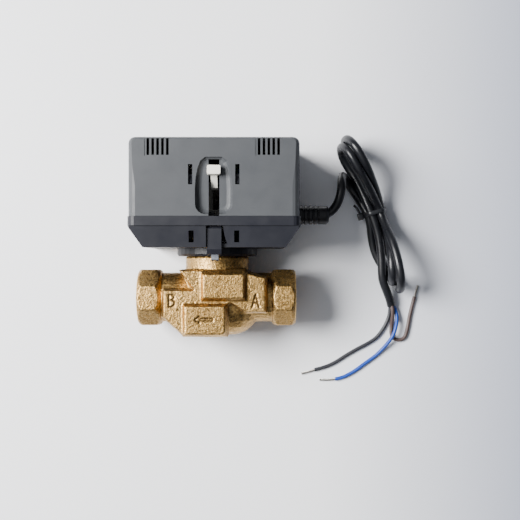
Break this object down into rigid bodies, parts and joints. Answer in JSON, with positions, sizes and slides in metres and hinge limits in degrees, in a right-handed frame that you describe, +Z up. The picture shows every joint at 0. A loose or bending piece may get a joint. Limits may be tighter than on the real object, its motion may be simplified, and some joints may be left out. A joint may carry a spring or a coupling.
{
  "type": "motorized valve actuator",
  "caption": "Motorized zone-valve actuator with manual lever and mains lead, bayonet-locked on a two-port brass valve with octagonal threaded ends.",
  "frame": {"origin": "middle of the assembly's footprint, on the surface that it lies on, without its mains lead", "axes": "+X along the pipe to port A, +Y along the valve stem from the valve to the actuator's cover, +Z up to the manual lever's side"},
  "size_m": [0.169, 0.1485, 0.0668],
  "materials": {
    "cover_grey": "fine-grained moulded mid grey ABS",
    "base_slate": "moulded dark slate nylon, slightly glossy",
    "cast_brass": "sand-cast brass with machined neck and sockets",
    "steel": "zinc-plated and bright steel",
    "lever_white": "off-white acetal",
    "gear_white": "natural acetal",
    "cage_grey": "glass-filled engineering plastic",
    "black_rubber": "glossy black PVC and rubber",
    "black_plastic": "black moulded plastic",
    "blue_core": "blue PVC insulation",
    "brown_core": "brown PVC insulation",
    "copper": "enamelled copper winding",
    "board_green": "green solder mask and terminal plastic",
    "relay_blue": "blue moulded relay case",
    "magnet_grey": "sintered ferrite"
  },
  "bodies": {
    "actuator": {"cover": "cover_grey", "base": "base_slate", "latch_housing": "base_slate", "guide_bridge": "gear_white", "circuit_board": "board_green", "relay": "relay_blue", "terminal_block": "board_green", "capacitor": "black_plastic", "bayonet_collar": "base_slate", "collar_clip": "steel", "pivot_pin": "steel", "third_gear_shaft": "steel", "second_gear_shaft": "steel", "motor_coil": "copper", "motor_can": "steel", "motor_cap": "steel", "motor_plate": "steel", "gear_plate": "steel", "plate_post_1": "steel", "plate_post_2": "steel", "plate_post_3": "steel", "end_switch_up": "black_plastic", "end_switch_down": "black_plastic", "cable_gland": "black_rubber", "inner_lead": "black_rubber", "lead_run": "black_rubber", "lead_hank": "black_rubber", "lead_tail": "black_rubber", "cable_tie": "black_plastic", "core_black": "black_rubber", "core_blue": "blue_core", "core_brown": "brown_core"},
    "valve": {"valve_body": "cast_brass", "cartridge_cage": "cage_grey", "cage_seal": "black_rubber", "bonnet_nut": "cast_brass", "stem_seal": "black_rubber"},
    "piston": {"valve_stem": "steel", "piston": "gear_white", "piston_seal": "black_rubber"},
    "drive_arm": {"drive_arm": "lever_white"},
    "stem_carriage": {"stem_carriage": "lever_white"},
    "third_gear": {"third_gear": "gear_white"},
    "second_gear": {"second_gear": "gear_white"},
    "motor_shaft": {"motor_pinion": "steel", "motor_rotor": "magnet_grey"},
    "lock_tongue": {"lock_tongue": "steel"}
  },
  "joints": [
    {"name": "manual_lever", "type": "hinge", "parent": "actuator", "child": "drive_arm", "pos_m": [0, 0.0262, 0.007], "axis": [1, 0, 0], "range_deg": [0, 19]},
    {"name": "carriage_lift", "type": "slide", "parent": "actuator", "child": "stem_carriage", "axis": [0, 1, 0], "range_m": [-0.00544, 0]},
    {"name": "piston_stroke", "type": "slide", "parent": "valve", "child": "piston", "axis": [0, 1, 0], "range_m": [-0.00544, 0]},
    {"name": "third_gear_spin", "type": "hinge", "parent": "actuator", "child": "third_gear", "pos_m": [0, 0.03893, 0.01973], "axis": [1, 0, 0], "range_deg": [-67, 0]},
    {"name": "second_gear_spin", "type": "hinge", "parent": "actuator", "child": "second_gear", "pos_m": [0, 0.03462, 0.03157], "axis": [1, 0, 0], "range_deg": [0, 214]},
    {"name": "motor_spin", "type": "hinge", "parent": "actuator", "child": "motor_shaft", "pos_m": [0, 0.02613, 0.04005], "axis": [1, 0, 0], "range_deg": [-640, 0]},
    {"name": "bayonet_turn", "type": "hinge", "parent": "actuator", "child": "valve", "pos_m": [0, -0.033, 0.0235], "axis": [0, 1, 0], "range_deg": [0, 45]},
    {"name": "tongue_lift", "type": "slide", "parent": "actuator", "child": "lock_tongue", "axis": [0, 1, 0], "range_m": [0, 0.0022], "stiffness_N_per_m": 150, "springref_m": -0.001}
  ],
  "couplings": [
    {"joint": "manual_lever", "follows": "carriage_lift", "rad_per_m": -60.901},
    {"joint": "piston_stroke", "follows": "carriage_lift", "ratio": 1},
    {"joint": "third_gear_spin", "follows": "carriage_lift", "rad_per_m": 213.15},
    {"joint": "second_gear_spin", "follows": "carriage_lift", "rad_per_m": -682.09},
    {"joint": "motor_spin", "follows": "carriage_lift", "rad_per_m": 2046.3}
  ]
}
